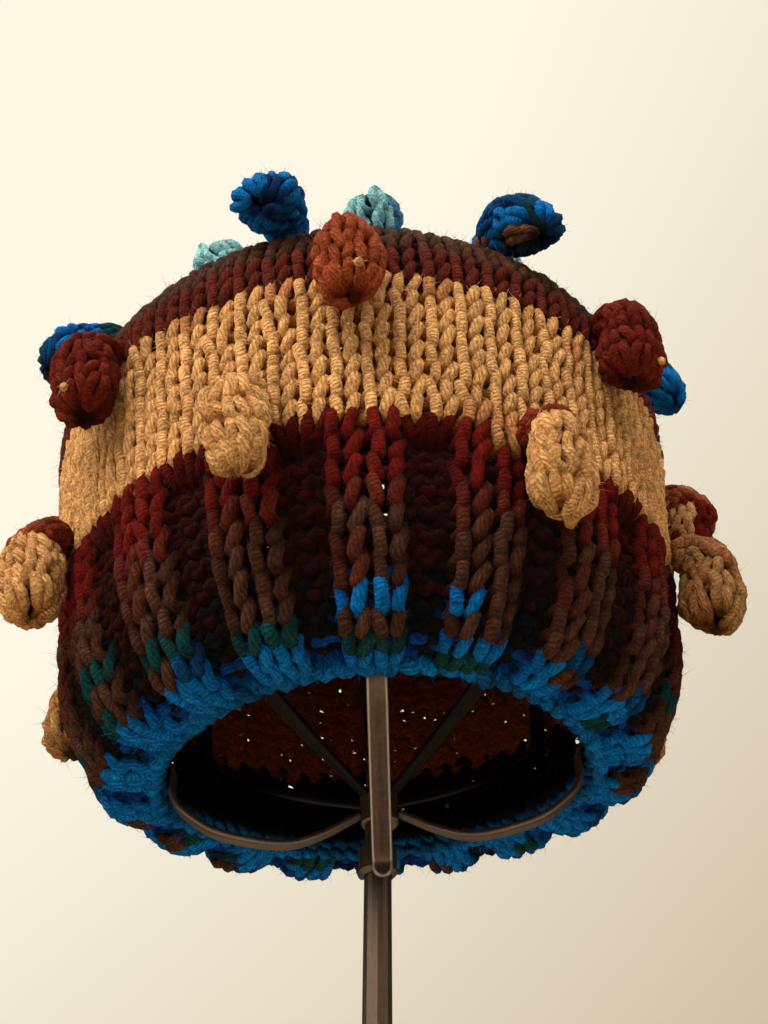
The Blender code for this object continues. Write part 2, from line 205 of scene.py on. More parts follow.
TAN, RUST, MAROON = light(226, 172, 114), light(166, 80, 48), light(106, 16, 10)
GREY_BROWN, RED_BROWN = light(80, 50, 38), light(96, 34, 24)
TEAL, AQUA = light(10, 66, 72), light(150, 212, 222)
BLUE, DEEP_BLUE = light(0, 118, 205), light(0, 72, 130)
ROUND_COLOURS = (
    [BLUE] * 2 + [GREY_BROWN] * 5 + [RED_BROWN] + [MAROON] * 3 + [TAN] * 8 + [RED_BROWN] * 2
    + [GREY_BROWN] * 3 + [TEAL] * 2 + [BLUE] * 4 + [AQUA] * 6 + [BLUE] * 2 + [DEEP_BLUE] * 2
    + [TEAL] * 3)
ROUNDS = len(ROUND_COLOURS)
print("rounds of knitting", ROUNDS)


# %% Stray stitches
def hashed(*keys):
    """A repeatable number from 0 to 1 for a stitch, by the usual recipe of a steep sine."""
    value = 0.0
    for i, key in enumerate(keys):
        value += math.sin(key * (12.9898 + 7.133 * i) + 4.1 * i) * 43758.5453
    return value - math.floor(value)


def stitch_colour(row, share):
    """The colour of one stitch of the hat, by its round and its share of the way round from the
    front. Stray stitches near a change of colour take a colour from beside it, and the sunk ones
    of the ribbing are darker, as painted shade in their recesses. Of the strays that fit a stitch,
    the first counts."""
    angle = math.tau * share
    front = math.cos(angle)
    chance = hashed(row, share * STITCHES)
    patch = 0.5 + 0.5 * math.sin(5 * angle + 1.9 * row) * math.sin(3 * angle + 0.7 + row)
    sunk = round(share * STITCHES + 0.5) % 4 >= 2
    side_brown = GREY_BROWN if chance > 0.3 else RED_BROWN
    strays = (
        # Its rounds, when it shows there, and its colour
        # Sunk stitches at the front take a darker copy of their colour: painted shade in the purl
        # recesses
        ((1, 2, 3), sunk and front > -0.05, 0.55 * (TEAL if chance > 0.5 else GREY_BROWN)),
        ((0, 1), patch + 0.25 * chance > 0.93, TEAL),
        ((1,), front < 0.75 and chance > 0.72, GREY_BROWN),
        ((2, 3), front < -0.05 and chance > 0.12, BLUE if chance > 0.4 else DEEP_BLUE),
        ((2,), patch > 0.70 or (front < 0.8 and chance > 0.74),
         DEEP_BLUE if chance > 0.5 else TEAL),
        ((3,), front > 0.955 and chance > 0.25, BLUE),
        ((3, 4), patch > 0.74, TEAL),
        # Sunk stitches of these rounds take a darker maroon mix: painted shade in the purl recesses
        ((4, 5, 6, 7), sunk, 0.6 * MAROON + 0.2 * GREY_BROWN),
        ((8,), front + 0.3 * chance < 0.55, side_brown),
        ((9,), front + 0.3 * chance < 0.45, side_brown),
        ((4, 5, 6), chance > 0.7, 0.5 * RED_BROWN + 0.5 * GREY_BROWN),
        ((10,), chance > 0.9, 0.5 * MAROON + 0.5 * TAN),
        ((11,), chance > 0.78, 0.45 * RUST + 0.55 * TAN),
        ((17, 18), chance > 0.88, 0.5 * RUST + 0.5 * TAN))
    colour = next((stray for rounds, shows, stray in strays if row in rounds and shows),
                  ROUND_COLOURS[row])
    return colour * (0.88 + 0.24 * hashed(row + 0.5, share * STITCHES))


print("a stitch at the front of the rim", stitch_colour(0, 0.0).round(3))

# %% [markdown]
# ## Shader maths
# A small class wraps a node's socket, so that shader sums are written like ordinary ones. Numbers
# go through Math nodes, and colours go through Mix, because a Math node would turn them grey.

# %% A socket that can be added and multiplied
class Sum:
    """A shader value that adds its Math nodes as it is used in an expression."""

    def __init__(self, tree, socket):
        self.tree, self.socket = tree, socket

    def maths(self, operation, *values):
        made = add_node(self.tree, "ShaderNodeMath", {"operation": operation},
                        **{f"_{place}": value for place, value in enumerate(values)})
        return Sum(self.tree, made.outputs[0])

    def __add__(self, other):
        return self.maths("ADD", self, other)

    def __sub__(self, other):
        return self.maths("SUBTRACT", self, other)

    def __rsub__(self, other):
        return self.maths("SUBTRACT", other, self)

    def __mul__(self, other):
        return self.maths("MULTIPLY", self, other)

    __radd__ = __add__
    __rmul__ = __mul__


# %% Nodes and materials
def fill(node, **values):
    """Fill a node's sockets by name, with __ for a space, or by place as _0, _1. Each takes a
    value or a link."""
    for key, value in values.items():
        socket = node.inputs[int(key[1:]) if key[0] == "_" else key.replace("__", " ")]
        if isinstance(value, Sum):
            value = value.socket
        if isinstance(value, bpy.types.NodeSocket):
            node.id_data.links.new(value, socket)
        else:
            socket.default_value = value


def add_node(tree, kind, settings=None, **values):
    """A node with its settings first and then its sockets."""
    made = tree.nodes.new(kind)
    for key, value in (settings or {}).items():
        setattr(made, key, value)
    fill(made, **values)
    return made


def noise(tree, place, scale, detail, roughness=0.5):
    """Noise over a place, with so many grains to the metre."""
    return Sum(tree, add_node(tree, "ShaderNodeTexNoise", Vector=place, Scale=scale,
                              Detail=detail, Roughness=roughness).outputs[0])


def mix_colours(tree, share, first, second, blend="MIX"):
    """Two colours mixed by a share, as a socket."""
    return add_node(tree, "ShaderNodeMix", {"data_type": "RGBA", "blend_type": blend},
                    _0=share, _6=first, _7=second).outputs[2]


def new_material(name, **values):
    """A material with a Principled shader, and the tree it sits in."""
    material = bpy.data.materials.new(name)
    material.use_nodes = True
    shader = material.node_tree.nodes["Principled BSDF"]
    fill(shader, **values)
    return material, material.node_tree, shader


# %% [markdown]
# ## Wool
# The yarn is a few strands twisted together, so fine grooves wind round it, and painted shade
# darkens them. The mesh carries its own map, in which U goes up by one from groove to groove. Wool
# has no shine but a soft sheen, and its fibres are lighter and darker than each other.

# %% The wool material
FIBRE_GRAINS, HEATHER_GRAINS = 1350.0, 420.0
# How much each changes the tone, what is taken off their sum, and the darkest tone
FIBRE_TONE, HEATHER_TONE, TONE_LESS, DARKEST = 3.2, 1.5, 1.33, 0.12
# How far each pushes the grooves aside, and the depth of the bump in metres
FIBRE_PUSH, HEATHER_PUSH, BUMP_DEPTH = 1.3, 1.6, 0.0006


def wool(name, grooves=True):
    """Yarn with the colour its mesh carries. Loose fibres take it without the grooves."""
    material, tree, shader = new_material(name, Roughness=0.95, Specular__IOR__Level=0.06,
                                          Sheen__Weight=0.015, Sheen__Roughness=0.5)
    dye_and_painted_light = add_node(tree, "ShaderNodeAttribute", {"attribute_name": "yarn_colour"})
    place = add_node(tree, "ShaderNodeTexCoord").outputs["Object"]
    fibre = noise(tree, place, FIBRE_GRAINS, 4.0, 0.8)
    heather = noise(tree, place, HEATHER_GRAINS, 2.0)
    tone = fibre * FIBRE_TONE + heather * HEATHER_TONE - TONE_LESS
    tone = tone.maths("MAXIMUM", tone, DARKEST)
    if grooves:
        around = add_node(tree, "ShaderNodeUVMap", {"uv_map": "yarn"}).outputs[0]
        groove = Sum(tree, add_node(tree, "ShaderNodeSeparateXYZ", Vector=around).outputs[0])
        wave = (groove + (heather - 0.5) * HEATHER_PUSH + (fibre - 0.5) * FIBRE_PUSH) * math.pi
        ridge = wave.maths("ABSOLUTE", wave.maths("SINE", wave))
        # Painted shade: the grooves between the strands are darkened
        tone = tone * (ridge * 0.32 + 0.78)
        bump = add_node(tree, "ShaderNodeBump", Strength=1.0, Distance=BUMP_DEPTH,
                        Height=ridge * 0.5 + fibre * 2.4)
        fill(shader, Normal=bump.outputs[0])
    grey = add_node(tree, "ShaderNodeCombineColor", _0=tone, _1=tone, _2=tone)
    fill(shader, Base__Color=mix_colours(tree, 1.0, dye_and_painted_light.outputs["Color"], grey.outputs[0],
                                         "MULTIPLY"))
    return material


YARN_WOOL = wool("twisted_wool")
LOOSE_WOOL = wool("loose_wool", grooves=False)
print("wool nodes", len(YARN_WOOL.node_tree.nodes), "and", len(LOOSE_WOOL.node_tree.nodes))

# %% [markdown]
# ## Yarn as a mesh
# A round of knitting is one long closed line, so it is drawn as a curve with a round thickness and
# then made a mesh. The curve makes as many points round the yarn for each point of the line as it
# has sides, in order, so each colour along the line is repeated that often and painted on the mesh.

# %% From lines to round yarn
YARN_RADIUS = 0.00182


def draw_lines(name, lines, thickness, sides):
    """Closed lines of points as a mesh of round yarn."""
    curve = bpy.data.curves.new(name, "CURVE")
    curve.dimensions = "3D"
    curve.bevel_depth = YARN_RADIUS
    curve.bevel_resolution = sides // 2 - 2
    for line, thick in zip(lines, thickness):
        spline = curve.splines.new("POLY")
        spline.points.add(len(line) - 1)
        flat = np.ones((len(line), 4), np.float32)
        flat[:, :3] = line
        spline.points.foreach_set("co", flat.ravel())
        spline.points.foreach_set("radius", thick.astype(np.float32))
        spline.use_cyclic_u = True
    drawn = add_object(name + "_line", curve)
    evaluated = drawn.evaluated_get(bpy.context.evaluated_depsgraph_get())
    mesh = bpy.data.meshes.new_from_object(evaluated)
    bpy.data.objects.remove(drawn)
    bpy.data.curves.remove(curve)
    mesh.name = name
    expected = sides * sum(len(line) for line in lines)
    assert len(mesh.vertices) == expected, (len(mesh.vertices), expected)
    return mesh


print("yarn", round(YARN_RADIUS * 2000, 2), "mm thick")


# %% Dye with painted shade, and finish
def read_vertices(mesh):
    """Places and normals of a mesh's vertices."""
    places, normals = (np.zeros(len(mesh.vertices) * 3) for _ in range(2))
    mesh.vertices.foreach_get("co", places)
    mesh.vertex_normals.foreach_get("vector", normals)
    return places.reshape(-1, 3), normals.reshape(-1, 3)


def facing_out(places, normals, share):
    """How much each normal points away from the hat's middle, at a share of the hat's height."""
    return (normals * unit(places - UP * (RIM_HEIGHT + share * HAT_HEIGHT))).sum(axis=1)


def paint(mesh, dyes_and_painted_light):
    """Write each vertex's dye, with its painted shade and glow, where the wool looks for it."""
    colours = np.ones((len(dyes_and_painted_light), 4), np.float32)
    colours[:, :3] = dyes_and_painted_light
    layer = mesh.attributes.new("yarn_colour", "FLOAT_COLOR", "POINT")
    layer.data.foreach_set("color", colours.ravel())


def finish_piece(name, mesh, material):
    """Link a finished mesh at the origin and give it its material."""
    mesh.materials.clear()
    mesh.materials.append(material)
    mesh.shade_smooth()
    piece = add_object(name, mesh)
    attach(piece, "root")
    print(name, "triangles", sum(len(p.vertices) - 2 for p in mesh.polygons))
    return piece


# %% The grooves of the twist
POINTS_PER_STITCH = 12
# Spacing of the grooves along the yarn and how many wind round it, on the upright leg of a loop
# and on the slanting one, which the knitting twists tighter and looser
UPRIGHT_GROOVES = (0.00105, -2.0)
SLANTED_GROOVES = (0.00240, 8.0)


def wind_grooves(mesh, lines, sides):
    """Write the groove map, in which each leg of a loop has its own spacing and winding."""
    upright = np.arange(POINTS_PER_STITCH) < POINTS_PER_STITCH / 2
    along, winding = [], []
    for line in lines:
        leg = np.resize(upright, len(line))
        gap = np.where(leg, UPRIGHT_GROOVES[0], SLANTED_GROOVES[0])
        step = np.linalg.norm(np.roll(line, -1, axis=0) - line, axis=1) / gap
        along.append(np.concatenate(([0.0], np.cumsum(step)[:-1])))
        winding.append(np.where(leg, UPRIGHT_GROOVES[1], SLANTED_GROOVES[1]))
    along, winding = (np.repeat(np.concatenate(part), sides) for part in (along, winding))
    corners = np.zeros(len(mesh.loops), np.int32)
    mesh.loops.foreach_get("vertex_index", corners)
    layer = mesh.uv_layers[0]
    uv = np.zeros(len(mesh.loops) * 2, np.float32)
    layer.data.foreach_get("uv", uv)
    uv = uv.reshape(-1, 2)
    uv[:, 0] = along[corners] + winding[corners] * uv[:, 1]
    layer.data.foreach_set("uv", uv.ravel())
    layer.name = "yarn"


# The hat's middle, as a share of its height, and how turned away from it yarn stays outer yarn;
# yarn turned further towards it takes the painted shade and glow of the inside
INNER_MIDDLE, INNER_START, INNER_FADE = 0.42, 0.2, 1.8


def spin_yarn(name, lines, colours, thickness, slot, painted_inside=None, sides=8):
    """Closed lines of points as one piece of yarn, with its dye and its groove map. What faces
    the middle of the hat takes the colour given for the inside: painted shade in the ribbing, a
    painted glow of light through the wool in the crown."""
    mesh = draw_lines(name, lines, thickness, sides)
    dyes_and_painted_light = np.repeat(np.concatenate(colours), sides, axis=0)
    if painted_inside is not None:
        facing = facing_out(*read_vertices(mesh), INNER_MIDDLE)
        inside = np.clip(-INNER_START - INNER_FADE * facing, 0, 1)[:, None]
        dyes_and_painted_light = dyes_and_painted_light * (1 - inside) + painted_inside * inside
    paint(mesh, dyes_and_painted_light)
    wind_grooves(mesh, lines, sides)
    return finish_piece(name, mesh, YARN_WOOL)


# %% [markdown]
# ## The knit stitch
# In plain knitting each loop comes forward through the loop below it, so its two legs lie in
# front and its head and feet lie behind. Sines of the way round the loop give that shape. This
# hat's loops are pulled to one side, so that every left leg stands upright and joins the next
# like a cord, and every right leg slants. A purl stitch is the same loop with its back to us.

# %% One round of loops
LEG_SWING = 0.165
LOOP_SKEW = 0.075
LOOP_REACH = 0.0011
LOOP_HEIGHT = 1.5
# How flat the legs lie in front, and how much longer the loop stays behind
LEG_FLATNESS, HEAD_SET = 1.6, 0.15
# How far a loose loop strays across, up and out, in stitches, in rounds and in metres
STRAYS = (0.10, 0.10, 0.0004)


def loops(stitches, purl=None, jitter=0.0, seed=0):
    """One round of loops: place in stitches, height in rounds above its own, and outward offset.
    purl gives each stitch's face, 1 for knit and -1 for purl."""
    steps = np.arange(stitches * POINTS_PER_STITCH)
    stitch = steps // POINTS_PER_STITCH
    t = math.tau * (steps % POINTS_PER_STITCH) / POINTS_PER_STITCH
    face = np.ones(stitches) if purl is None else np.array(purl, float)
    nearest = np.where(t < math.pi, np.roll(face, 1)[stitch], np.roll(face, -1)[stitch])
    shared = np.clip(np.cos(t), 0, 1) ** 2
    side = face[stitch] * (1 - shared) + 0.5 * (face[stitch] + nearest) * shared
    across = stitch + t / math.tau + LEG_SWING * np.sin(2 * t) - LOOP_SKEW * np.cos(t)
    up = LOOP_HEIGHT / 2 * (1 - np.cos(t))
    out = -LOOP_REACH * np.tanh(LEG_FLATNESS * np.cos(2 * t) - HEAD_SET) * side
    loose = np.random.default_rng(1000 + seed).normal(size=(3, stitches)) * jitter
    soft = np.sin(t / 2) ** 2
    return (value + loose[axis][stitch] * soft * STRAYS[axis]
            for axis, value in enumerate((across, up, out)))


# %% Dye, painted shade and thickness along a round
# How much a sunk stitch counts as behind, and how much painted shade there deepens and darkens its
# colour
SUNK_SHADE, SHADE_DEEPEN, SHADE_DARKEN = 0.62, 0.85, 0.62
UNEVENNESS = 0.035


def spread_colours_and_shade(per_stitch, out, sunk=0.0):
    """Colours for every point of a round, softened where one stitch passes into the next. Where
    the yarn dips behind the fabric it gets painted shade: its colour is deepened and darkened, as
    light there has met more wool."""
    rows = np.repeat(np.array(per_stitch), POINTS_PER_STITCH, axis=0)
    rows = (rows + np.roll(rows, 1, axis=0) + np.roll(rows, -1, axis=0)) / 3
    # Painted shade: the further the yarn dips behind or sinks, the deeper and darker its colour
    dip = np.clip(0.5 - 0.5 * out / LOOP_REACH, 0, 1)
    depth = np.maximum(dip * dip, SUNK_SHADE * sunk)[:, None]
    return np.power(rows, 1 + SHADE_DEEPEN * depth) * (1 - SHADE_DARKEN * depth)


def uneven(count, seed):
    """Thick and thin places along a round of yarn, as factors close to one."""
    rng = np.random.default_rng(5000 + seed)
    steps = math.tau * np.arange(count) / count
    waves = [(rng.integers(count // 40, count // 9), rng.uniform(0, math.tau)) for _ in range(5)]
    return 1 + UNEVENNESS * sum(np.sin(turns * steps + phase) for turns, phase in waves)


print("points in a round", STITCHES * POINTS_PER_STITCH)

# %% [markdown]
# ## Ribbing and crown
# Two knit and two purl stitches make a rib. The knit pair stands proud and spreads, and the purl
# pair sinks and closes up. Above the ribbing the rounds are plain, and near the top stitches are
# knitted together in eight lines, so each round there has fewer.

# %% Where the rounds lie
STITCH_ANGLE = math.tau / STITCHES
RIB_TURN = math.radians(-0.6)
RIB_DEPTH, RIB_SPREAD = 0.0036, 0.26
RIB_ROUNDS, TOP_ROUND = 11, 24
SECTORS = 8
CLOSEST_STITCHES = 0.92
# Run from the rim at round 0 and at the end of the ribbing, and from round to round of the crown
FIRST_RUN, RIB_END_RUN, CROWN_STEP = 0.0020, 0.0770, 0.00645
ROUNDS_AT = ((0, RIB_ROUNDS, ROUNDS),
             (FIRST_RUN, RIB_END_RUN, RIB_END_RUN + CROWN_STEP * (ROUNDS - RIB_ROUNDS)))


def stitches_in(row):
    """How many stitches a round has: all of them, or fewer once the crown narrows."""
    if row < TOP_ROUND:
        return STITCHES
    run = np.interp(row + LOOP_HEIGHT / 2, *ROUNDS_AT)
    radius = float(along_run(run, OUTLINE[:, 0])) - YARN_RADIUS
    wanted = math.tau * radius / (STITCH_ANGLE * BODY_RADIUS * CLOSEST_STITCHES)
    return max(SECTORS, min(STITCHES, SECTORS * round(wanted / SECTORS)))


def ribbing_at(level):
    """One in the ribbing, fading to nothing where the plain rounds start."""
    return np.clip((RIB_ROUNDS + 0.4 - level) / 1.2, 0, 1)


print("stitches in the last round", stitches_in(ROUNDS - 1))


# %% One round of the hat
# How far from the middle of a knit pair the fabric sinks, in stitches, and over how many
SINK_START, SINK_OVER = 0.85, 0.45
# Share of the sinking at the rim, and how much more each round has
RIM_SINK, SINK_STEP = 0.5, 0.3
TOP_GAP = 0.0015
# Thinnest and thickest that stitches make the yarn, and how much front legs and knit pairs swell
THIN_YARN, THICK_YARN, LEG_SWELL, RIB_SWELL = 0.84, 1.02, 0.30, 0.12


def knit_round(row):
    """The line of yarn of one round of the hat, its colours and its thickness."""
    count = stitches_in(row)
    faces = [1 if i % 4 < 2 else -1 for i in range(count)] if row < RIB_ROUNDS - 1 else None
    across, up, out = loops(count, faces, jitter=1.0, seed=row)
    place = across * STITCHES / count
    level = row + up
    ribbing = ribbing_at(level)
    place = place + RIB_SPREAD * np.sin(math.pi * ((place - 1.0) % 4.0) / 2) * ribbing
    from_knit = np.abs((place + 1.0) % 4.0 - 2.0)
    sunk = ease(np.clip((from_knit - SINK_START) / SINK_OVER, 0, 1))
    sunk = sunk * ribbing * np.clip(RIM_SINK + SINK_STEP * level, 0, 1)
    run = np.minimum(np.interp(level, *ROUNDS_AT), RUN[-1] - TOP_GAP)
    angle = RIB_TURN + (place - 1.0) * STITCH_ANGLE
    line = on_hat(run, angle, YARN_RADIUS + LOOP_REACH * 0.5 + sunk * RIB_DEPTH - out)
    shares = [(RIB_TURN + (i * STITCHES / count - 0.5) * STITCH_ANGLE) / math.tau
              for i in range(count)]
    width = along_run(run, OUTLINE[:, 0]) * STITCHES / count / BODY_RADIUS
    thick = np.clip(0.70 + 0.30 * width, THIN_YARN, THICK_YARN) * uneven(len(out), row)
    thick = thick * (1 + LEG_SWELL * np.clip(-out / LOOP_REACH, 0, 1) * (1 - ribbing * 0.4))
    thick = thick * (1 + RIB_SWELL * ribbing * (1 - sunk))
    return line, spread_colours_and_shade([stitch_colour(row, share) for share in shares], out, sunk), thick


# %% Behind the fabric
BACK_DEPTH, BACK_SINK, BACK_THICKNESS = 0.0046, 0.65, 1.22
# Where a strand swings between, in rounds above its own
BACK_LOW, BACK_SWING = 0.35, 0.55
# Painted shade on the strands behind the fabric: a power that deepens their colour, and a factor
# that darkens it
BACK_SHADE_DEEPEN, BACK_SHADE_TINT = 1.5, 0.45
# Share of thin places in the ribbing and in the crown, and how thin they are
THIN_IN_RIBBING, THIN_IN_CROWN, THINNEST = 0.26, 0.42, 0.15


def back_of_round(row):
    """The yarn that joins the loops of a round behind the fabric, as a strand that winds up and
    down between two rounds. It lets light through in a few thin places only."""
    steps = np.arange(STITCHES * 2)
    level = row + BACK_LOW + BACK_SWING * (steps % 2)
    angle = RIB_TURN + (steps / 2 - 1.0) * STITCH_ANGLE
    sunk = np.where((steps / 2) % 4 >= 2.5, 1.0, 0.0) * ribbing_at(level)
    share = THIN_IN_RIBBING if row < RIB_ROUNDS else THIN_IN_CROWN
    thin = np.where(np.random.default_rng(8000 + row).random(len(steps)) < share, THINNEST, 1.0)
    line = on_hat(np.interp(level, *ROUNDS_AT), angle, BACK_DEPTH + BACK_SINK * RIB_DEPTH * sunk)
    dye_and_painted_light = np.array([stitch_colour(row, (i / 2 - 1.0) / STITCHES) for i in steps])
    thick = BACK_THICKNESS * thin * uneven(len(steps), 60 + row)
    return line, np.power(dye_and_painted_light, BACK_SHADE_DEEPEN) * BACK_SHADE_TINT, thick


# %% The cast-on edge
EDGE_STEPS, EDGE_SWING, EDGE_WANDER, EDGE_THICKNESS = 6, 0.0007, 0.0004, 1.12
# Run, depth and tint of each strand of the cord, from the outer face of the rim to the inner one.
# The low tints of the two inner strands are painted shade
EDGE_STRANDS = ((0.0020, 0.0018, 1.0), (0.0008, 0.0040, 0.8), (0.0014, 0.0062, 0.08),
                (0.0032, 0.0080, 0.02))


def cast_on_edge(run, depth, tint, seed):
    """A strand of the cord that the first round grows from, winding a little along the rim."""
    steps = np.arange(STITCHES * EDGE_STEPS)
    t = math.tau * (steps % EDGE_STEPS) / EDGE_STEPS + seed
    angle = math.tau * steps / len(steps)
    wander = np.random.default_rng(9000 + seed).normal(size=(2, len(steps)))
    line = on_hat(run + EDGE_SWING * np.sin(t) + EDGE_WANDER * wander[0], angle,
                  depth + EDGE_SWING * np.cos(t) + EDGE_WANDER * wander[1])
    tints = 0.72 + 0.28 * np.sin(3 * angle + seed) * np.sin(8 * angle) + 0.12 * wander[0]
    tints = np.clip(tints, 0.3, 1.2) * tint
    thick = EDGE_THICKNESS * uneven(len(steps), 90 + seed) + 0.1 * wander[1]
    return line, BLUE * tints[:, None], thick


# %% Knit the hat
# Inside colours: near-black painted shade for the ribbing, and a reddish-brown painted glow of
# light shining through the crown
RIBBING_PAINTED_SHADE, CROWN_PAINTED_GLOW = light(8, 2, 1), light(150, 62, 28)
HAT_PIECES = []
for name, first, last, slot, node in (
        ("knitted_ribbing", 0, RIB_ROUNDS, "ribbed_knit", "ribbed_brim"),
        ("knitted_side", RIB_ROUNDS, TOP_ROUND, "plain_knit", "crown"),
        ("knitted_top", TOP_ROUND, ROUNDS, "plain_knit", "crown"),
        ("ribbing_backs", 0, RIB_ROUNDS, "ribbed_knit", "ribbed_brim"),
        ("side_backs", RIB_ROUNDS, TOP_ROUND, "plain_knit", "crown")):
    in_front = name.startswith("knitted")
    knitted = [(knit_round if in_front else back_of_round)(row) for row in range(first, last)]
    if name == "knitted_ribbing":
        knitted += [cast_on_edge(*strand, seed) for seed, strand in enumerate(EDGE_STRANDS)]
    piece = spin_yarn(name, *zip(*knitted), slot=slot,
                      painted_inside=RIBBING_PAINTED_SHADE if first == 0 else CROWN_PAINTED_GLOW)
    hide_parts(node)
    if in_front:
        HAT_PIECES.append(piece)

# %% [markdown]
# ## Bobbles
# A bobble is a small knitted pouch: seven stitches round, worked straight out of the wall, then
# drawn together at its tip so that it puckers like a bud. It stands out of the wall and falls
# against it under its own weight, so its middle line bends down, and the loops follow that line.

# %% Where the bobbles are
BOBBLE_RADIUS, BOBBLE_LENGTH, BOBBLE_FLATNESS, BOBBLE_ROOT = 0.0105, 0.0380, 0.84, 0.05
BOBBLE_GAP, PATH_STEPS, BOBBLES_PER_RING = 0.0005, 50, 8
# Name, share of the run, degrees from the front of the first one, and degrees it bends down by
BOBBLE_RINGS = (("tan_bobble", 0.2951, -17.5, 90.0), ("rust_bobble", 0.4824, -1.5, 90.0),
                ("blue_bobble", 0.6352, -16.6, 88.0), ("aqua_bobble", 0.7782, 3.0, 18.0))
# Shares of the run and degrees by which some are off their ring's place
BOBBLE_SHIFTS = {"tan_bobble_2": (-0.028, -1.0), "tan_bobble_7": (0.018, 0.0),
                 "rust_bobble_8": (-0.020, 2.0), "blue_bobble_1": (0.0, 3.0),
                 "aqua_bobble_1": (0.0, 2.5)}


def bobble_frame(run, turn, bend):
    """Middle line of a bobble, straight out of the wall and then down along it, with its
    directions ahead and away from the wall, and the direction across the bobble."""
    bent_at = BOBBLE_ROOT + 2 * (BOBBLE_FLATNESS * BOBBLE_RADIUS / BOBBLE_LENGTH - BOBBLE_ROOT)
    travel, stand, line = 0.0, BOBBLE_GAP, []
    for step in range(PATH_STEPS + 1):
        line.append(on_hat(run * RUN[-1] - travel, math.radians(turn), -stand))
        share = min(max(((step + 0.5) / PATH_STEPS - BOBBLE_ROOT) / (bent_at - BOBBLE_ROOT), 0), 1)
        slope = math.radians(bend) * ease(share)
        stand += math.cos(slope) * BOBBLE_LENGTH / PATH_STEPS
        travel += math.sin(slope) * BOBBLE_LENGTH / PATH_STEPS
    ahead = unit(np.gradient(np.array(line), axis=0))
    angle = math.radians(turn)
    across = lean_direction(np.array((math.cos(angle), math.sin(angle), 0.0)))
    return np.array(line), ahead, unit(np.cross(across, ahead)), across


print("bobbles", len(BOBBLE_RINGS) * BOBBLES_PER_RING)

# %% Loops round a middle line
BOBBLE_STITCHES, BOBBLE_ROUNDS, BOBBLE_REACH, BOBBLE_THICKNESS = 7, 6, 0.94, 0.94
# How far down the bobble, and its girth there as a share of its radius
BOBBLE_GIRTH = np.array(((0.00, 0.50), (0.10, 0.56), (0.28, 0.76), (0.50, 0.93), (0.75, 1.00),
                         (0.92, 0.84), (1.00, 0.44)))
NARROWEST = 0.0008
# How loose its loops are, how lumpy it is all along and more to its tip, and how its dye varies
LOOSENESS, LUMPY, LUMPY_TIP, DARKEST_DYE, DYE_PLAY = 2.4, 0.11, 0.08, 0.86, 0.26


def knit_bobble(run, turn, bend, colours, seed, slim):
    """The rounds of one bobble as lines of yarn, each with its colours and its thickness. Slim is
    the girth half-way down, as a share of the usual one, and the bobble narrows as much again
    towards its tip."""
    middle_line, _, away, side = bobble_frame(run, turn, bend)
    rng = np.random.default_rng(seed)
    puff = 1 + 0.05 * rng.normal(size=3)
    twist = rng.uniform(-0.5, 0.5)
    stations = np.arange(PATH_STEPS + 1) / PATH_STEPS
    tip = BOBBLE_REACH - YARN_RADIUS / BOBBLE_LENGTH
    rounds = []
    for row in range(BOBBLE_ROUNDS):
        across, up, out = loops(BOBBLE_STITCHES, jitter=LOOSENESS, seed=seed * 10 + row)
        level = (row + up) / (BOBBLE_ROUNDS + 0.5)
        around = math.tau * across / BOBBLE_STITCHES + 0.7 * seed + twist * level
        share = level * tip
        girth = np.interp(level, *BOBBLE_GIRTH.T) * BOBBLE_RADIUS - YARN_RADIUS + 0.9 * out
        lump = (1 + LUMPY * np.sin(2 * around + 6 * puff[0]) * np.sin(7 * share + 5 * puff[1])
                + LUMPY_TIP * np.sin(3 * around + 9 * puff[2]) * share)
        girth = np.maximum(girth * lump * (1 - 2 * (1 - slim) * level), NARROWEST)
        middle, outward = (along_line(share, stations, line) for line in (middle_line, away))
        offset = (side * np.cos(around)[:, None]
                  + outward * np.sin(around)[:, None] * BOBBLE_FLATNESS)
        dyes_and_painted_light = spread_colours_and_shade([colours(row, i) * (DARKEST_DYE + DYE_PLAY * hashed(seed, row, i))
                               for i in range(BOBBLE_STITCHES)], out)
        rounds.append((middle + offset * girth[:, None], dyes_and_painted_light,
                       BOBBLE_THICKNESS * uneven(len(out), seed * 7 + row)))
    return rounds


# %% The knot on a bobble
KNOT_AT, KNOT_OUT, KNOT_SIDE, KNOT_RADIUS, KNOT_THICKNESS = 0.80, 0.80, 0.25, 0.0004, 0.60


def tie_knot(run, turn, bend, colour):
    """The end of another yarn, which shows as a dot near the tip of a bobble."""
    middle_line, ahead, away, side = bobble_frame(run, turn, bend)
    steps = math.tau * np.arange(6)[:, None] / 6
    at = round(KNOT_AT * PATH_STEPS)
    centre = middle_line[at] + BOBBLE_RADIUS * (KNOT_SIDE * side - KNOT_OUT * away[at])
    ring = centre + KNOT_RADIUS * (np.cos(steps) * side + np.sin(steps) * ahead[-1])
    return ring, np.tile(colour, (6, 1)), np.full(6, KNOT_THICKNESS)


# %% Colours of the bobbles
def tan_dye(number, row, i):
    """Tan all over, but for the lip of the second one and a few darker ones round the back."""
    chance = hashed(row, i, number)
    if number in (2, 8) and row < 2:
        return 0.6 * MAROON + 0.4 * RUST if chance > 0.3 else RUST
    if number in (3, 4, 7):
        return 0.62 * TAN if chance > 0.55 else 0.45 * RUST + 0.4 * TAN
    return TAN


def rust_dye(number, row, i):
    """Rust in front, darker maroon at the sides, and mixed on the third one."""
    if number == 3:
        return (0.8 * TAN, RUST, MAROON)[int(hashed(row, i) * 3)]
    return RUST if number == 1 else 0.75 * MAROON + 0.15 * RUST


